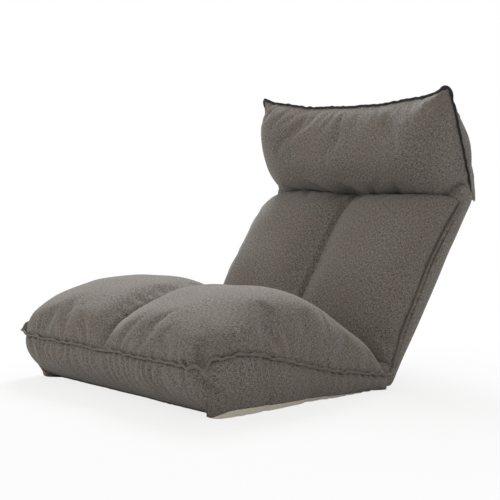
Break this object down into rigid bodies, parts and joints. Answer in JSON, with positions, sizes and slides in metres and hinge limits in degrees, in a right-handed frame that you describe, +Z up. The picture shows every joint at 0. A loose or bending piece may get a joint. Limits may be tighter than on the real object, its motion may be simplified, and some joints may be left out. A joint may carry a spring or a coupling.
{
  "type": "folding floor chair",
  "caption": "Legless padded floor chair: thick seat cushion, ratchet-hinged reclining back and a tilting headrest, fabric covered over a steel tube frame.",
  "frame": {"origin": "centre of the flat face on which the seat stands on the floor", "axes": "+Z up, +Y towards the back of the chair, +X to the sitter's left"},
  "size_m": [0.584, 0.747, 0.5796],
  "materials": {
    "linen_cover": "matte",
    "piping_cloth": "matte",
    "base_cloth": "matte",
    "foam": "matte",
    "frame_paint": "satin",
    "ratchet_steel": "satin",
    "zinc_steel": "satin"
  },
  "bodies": {
    "seat": {"hinge_cover": "linen_cover", "recline_left_case_inner_plate": "ratchet_steel", "recline_left_case_outer_plate": "ratchet_steel", "recline_left_pawl_spring": "zinc_steel", "recline_right_case_inner_plate": "ratchet_steel", "recline_right_case_outer_plate": "ratchet_steel", "recline_right_pawl_spring": "zinc_steel", "seat_base_cloth": "base_cloth", "seat_base_foam": "foam", "seat_border": "linen_cover", "seat_cross_tubes": "frame_paint", "seat_front_tube": "frame_paint", "seat_pillow": "linen_cover", "seat_seam_flange": "linen_cover", "seat_side_tube_left": "frame_paint", "seat_side_tube_right": "frame_paint"},
    "back": {"back_cross_tubes": "frame_paint", "back_foam": "foam", "back_pad": "linen_cover", "back_rear_cover": "linen_cover", "back_seam_flange": "linen_cover", "back_side_gusset_left": "linen_cover", "back_side_gusset_right": "linen_cover", "back_side_tube_left": "frame_paint", "back_side_tube_right": "frame_paint", "head_hinge_cover": "linen_cover", "head_left_case_inner_plate": "ratchet_steel", "head_left_case_outer_plate": "ratchet_steel", "head_left_pawl_spring": "zinc_steel", "head_right_case_inner_plate": "ratchet_steel", "head_right_case_outer_plate": "ratchet_steel", "head_right_pawl_spring": "zinc_steel", "recline_left_gear_arm": "ratchet_steel", "recline_right_gear_arm": "ratchet_steel"},
    "head": {"head_core_foam": "foam", "head_left_gear_arm": "ratchet_steel", "head_pillow_front": "linen_cover", "head_pillow_rear": "linen_cover", "head_piping": "piping_cloth", "head_right_gear_arm": "ratchet_steel", "head_side_tube_left": "frame_paint", "head_side_tube_right": "frame_paint", "head_top_tube": "frame_paint"},
    "recline_left_pawl": {"recline_left_pawl": "ratchet_steel"},
    "recline_right_pawl": {"recline_right_pawl": "ratchet_steel"},
    "head_left_pawl": {"head_left_pawl": "ratchet_steel"},
    "head_right_pawl": {"head_right_pawl": "ratchet_steel"}
  },
  "joints": [
    {"name": "back_recline", "type": "hinge", "parent": "seat", "child": "back", "pos_m": [0, 0.233, 0.022], "axis": [-1, 0, 0], "range_deg": [-60, 50]},
    {"name": "head_tilt", "type": "hinge", "parent": "back", "child": "head", "pos_m": [0, 0.45956, 0.35165], "axis": [-1, 0, 0], "range_deg": [0, 50]},
    {"name": "recline_left_pawl_turn", "type": "hinge", "parent": "seat", "child": "recline_left_pawl", "pos_m": [-0.23, 0.209, 0.022], "axis": [1, 0, 0], "range_deg": [0, 7.5]},
    {"name": "head_left_pawl_turn", "type": "hinge", "parent": "back", "child": "head_left_pawl", "pos_m": [-0.23, 0.44597, 0.33187], "axis": [1, 0, 0], "range_deg": [0, 7.5]},
    {"name": "recline_right_pawl_turn", "type": "hinge", "parent": "seat", "child": "recline_right_pawl", "pos_m": [0.23, 0.209, 0.022], "axis": [1, 0, 0], "range_deg": [0, 7.5]},
    {"name": "head_right_pawl_turn", "type": "hinge", "parent": "back", "child": "head_right_pawl", "pos_m": [0.23, 0.44597, 0.33187], "axis": [1, 0, 0], "range_deg": [0, 7.5]}
  ],
  "couplings": [
    {"joint": "recline_right_pawl_turn", "follows": "recline_left_pawl_turn", "ratio": 1},
    {"joint": "head_right_pawl_turn", "follows": "head_left_pawl_turn", "ratio": 1}
  ]
}
